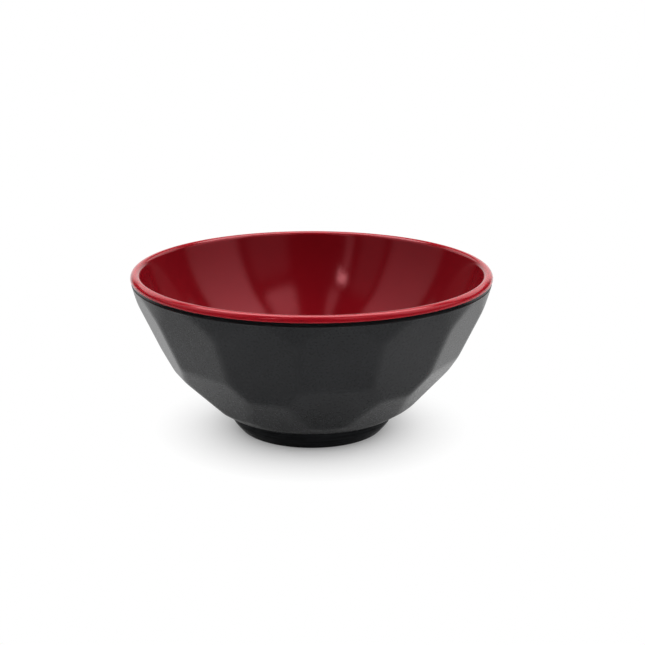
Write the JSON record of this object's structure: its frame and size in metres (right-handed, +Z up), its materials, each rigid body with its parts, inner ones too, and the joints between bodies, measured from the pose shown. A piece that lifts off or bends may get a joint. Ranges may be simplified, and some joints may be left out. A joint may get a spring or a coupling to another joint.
{
  "type": "rice bowl",
  "caption": "Melamine rice bowl with a faceted satin black outside, a foot ring, and a smooth glossy red inside whose rounded lip covers the rim.",
  "frame": {"origin": "middle of the foot ring's resting face, on the bowl's axis", "axes": "+Z up along the bowl's axis, -Y is the front as pictured, +X to the right of it"},
  "size_m": [0.127, 0.127, 0.058],
  "materials": {
    "black_melamine": "moulded melamine, satin on the facets, polished on the band and the foot",
    "red_melamine": "moulded melamine, polished to a high gloss"
  },
  "bodies": {
    "root": {"outer_shell": "black_melamine", "inner_liner": "red_melamine"}
  },
  "joints": []
}
